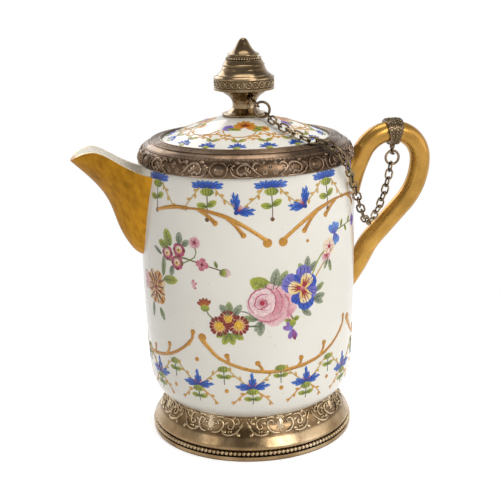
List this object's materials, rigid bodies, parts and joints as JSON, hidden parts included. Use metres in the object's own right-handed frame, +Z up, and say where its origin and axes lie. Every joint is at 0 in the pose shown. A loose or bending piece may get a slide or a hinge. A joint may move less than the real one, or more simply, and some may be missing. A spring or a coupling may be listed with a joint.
{
  "type": "cream jug",
  "caption": "Porcelain cream jug with a beaked spout, a looped handle and a silver rim, foot and domed lid; the lid lifts off and is tied to the handle by a chain.",
  "frame": {"origin": "centre of the foot's rim on the plane the jug stands on, on the axis of the body", "axes": "+Z up along the body's axis; the spout points along -X, the handle along +X, and the chain hangs on the -Y side"},
  "size_m": [0.1368, 0.08, 0.1485],
  "materials": {
    "porcelain": "glossy cream-white glaze",
    "spout_gold": "gilt, brownish and half matt",
    "handle_gold": "gilt, satin with brushed streaks",
    "rim_silver": "dark tarnished silver with relief",
    "foot_silver": "warm worn silver with relief",
    "finial_silver": "antiqued silver with brown tarnish",
    "collar_silver": "antiqued silver, once gilt",
    "chain_silver": "antiqued silver, once gilt",
    "plain_silver": "plain polished silver",
    "plaster": "matt plaster"
  },
  "bodies": {
    "jug": {"jug_body": "porcelain", "spout": "spout_gold", "handle": "handle_gold", "rim_mount": "rim_silver", "rim_bedding": "plaster", "foot_mount": "foot_silver", "foot_bead_wire": "foot_silver", "foot_bedding": "plaster", "handle_collar": "collar_silver"},
    "lid": {"lid_dome": "porcelain", "lid_mount": "rim_silver", "lid_bezel": "plain_silver", "dome_seat_ring": "plain_silver", "finial_base": "finial_silver", "finial_stem": "finial_silver", "finial_band": "finial_silver", "finial_shoulder": "finial_silver", "finial_cap": "finial_silver", "finial_bead_ring": "finial_silver", "finial_rod": "plain_silver", "finial_washer": "plain_silver", "finial_nut": "plain_silver", "finial_lug": "chain_silver"},
    "finial_loop": {"finial_loop": "chain_silver"},
    "finial_ring": {"finial_ring": "chain_silver"},
    "chain_run_1": {"collar_ring": "chain_silver", "link_01": "chain_silver", "link_02": "chain_silver", "link_03": "chain_silver"},
    "chain_run_2": {"link_04": "chain_silver", "link_05": "chain_silver", "link_06": "chain_silver", "link_07": "chain_silver", "link_08": "chain_silver"},
    "chain_run_3": {"link_09": "chain_silver", "link_10": "chain_silver", "link_11": "chain_silver", "link_12": "chain_silver", "link_13": "chain_silver"},
    "chain_run_4": {"link_14": "chain_silver", "link_15": "chain_silver", "link_16": "chain_silver", "link_17": "chain_silver", "link_18": "chain_silver"},
    "chain_run_5": {"link_19": "chain_silver", "link_20": "chain_silver", "link_21": "chain_silver", "link_22": "chain_silver"},
    "chain_run_6": {"link_23": "chain_silver", "link_24": "chain_silver", "link_25": "chain_silver"},
    "chain_run_7": {"link_26": "chain_silver", "link_27": "chain_silver", "link_28": "chain_silver"},
    "chain_run_8": {"link_29": "chain_silver", "link_30": "chain_silver", "link_31": "chain_silver"},
    "chain_run_9": {"link_32": "chain_silver", "link_33": "chain_silver"}
  },
  "joints": [
    {"name": "lid_lift", "type": "slide", "parent": "jug", "child": "lid", "axis": [0, 0, 1], "range_m": [0, 0.016]},
    {"name": "chain_run_1_swing", "type": "hinge", "parent": "jug", "child": "chain_run_1", "pos_m": [0.0572, 0, 0.10331], "axis": [-0.8461, 0.5227, 0.1048], "range_deg": [-2, 28.4]},
    {"name": "chain_run_2_swing", "type": "hinge", "parent": "chain_run_1", "child": "chain_run_2", "pos_m": [0.0538, -0.00316, 0.09108], "axis": [-0.6086, -0.7864, -0.1056], "range_deg": [-2, 6.8]},
    {"name": "chain_run_3_swing", "type": "hinge", "parent": "chain_run_2", "child": "chain_run_3", "pos_m": [0.0459, -0.01108, 0.08083], "axis": [0.538, -0.6372, -0.5518], "range_deg": [-2, 14.1]},
    {"name": "chain_run_4_swing", "type": "hinge", "parent": "chain_run_3", "child": "chain_run_4", "pos_m": [0.03797, -0.01952, 0.08806], "axis": [0.6201, 0.5224, -0.5852], "range_deg": [-2, 20.8]},
    {"name": "chain_run_5_swing", "type": "hinge", "parent": "chain_run_4", "child": "chain_run_5", "pos_m": [0.03235, -0.02632, 0.10055], "axis": [0.6913, 0.7156, 0.1002], "range_deg": [-2, 9.8]},
    {"name": "chain_run_6_swing", "type": "hinge", "parent": "chain_run_5", "child": "chain_run_6", "pos_m": [0.02684, -0.03121, 0.11017], "axis": [0.1321, 0.3284, 0.9353], "range_deg": [-2, 10.7]},
    {"name": "chain_run_7_swing", "type": "hinge", "parent": "chain_run_6", "child": "chain_run_7", "pos_m": [0.01965, -0.02822, 0.11441], "axis": [-0.8751, -0.2528, 0.4126], "range_deg": [-2, 13.4]},
    {"name": "chain_run_8_swing", "type": "hinge", "parent": "chain_run_7", "child": "chain_run_8", "pos_m": [0.01258, -0.02307, 0.11676], "axis": [-0.527, -0.17, 0.8327], "range_deg": [-2, 12]},
    {"name": "chain_run_9_swing", "type": "hinge", "parent": "chain_run_8", "child": "chain_run_9", "pos_m": [0.00731, -0.01626, 0.11982], "axis": [-0.1222, -0.2632, 0.957], "range_deg": [-2, 8.8]},
    {"name": "finial_loop_swing", "type": "hinge", "parent": "lid", "child": "finial_loop", "pos_m": [0.00127, -0.0069, 0.12721], "axis": [0.257, -0.6236, 0.7383], "range_deg": [-2, 3]},
    {"name": "finial_ring_swing", "type": "hinge", "parent": "finial_loop", "child": "finial_ring", "pos_m": [0.00207, -0.01047, 0.1257], "axis": [-0.4701, -0.7891, -0.3954], "range_deg": [-2, 2.4]}
  ],
  "couplings": [
    {"joint": "chain_run_1_swing", "follows": "lid_lift", "rad_per_m": 28.797},
    {"joint": "chain_run_2_swing", "follows": "lid_lift", "rad_per_m": 5.258},
    {"joint": "chain_run_3_swing", "follows": "lid_lift", "rad_per_m": 13.195},
    {"joint": "chain_run_4_swing", "follows": "lid_lift", "rad_per_m": 20.532},
    {"joint": "chain_run_5_swing", "follows": "lid_lift", "rad_per_m": 8.5404},
    {"joint": "chain_run_6_swing", "follows": "lid_lift", "rad_per_m": 9.4423},
    {"joint": "chain_run_7_swing", "follows": "lid_lift", "rad_per_m": 12.403},
    {"joint": "chain_run_8_swing", "follows": "lid_lift", "rad_per_m": 10.86},
    {"joint": "chain_run_9_swing", "follows": "lid_lift", "rad_per_m": 7.4234},
    {"joint": "finial_loop_swing", "follows": "lid_lift", "rad_per_m": 1.0734},
    {"joint": "finial_ring_swing", "follows": "lid_lift", "rad_per_m": 0.47276}
  ]
}
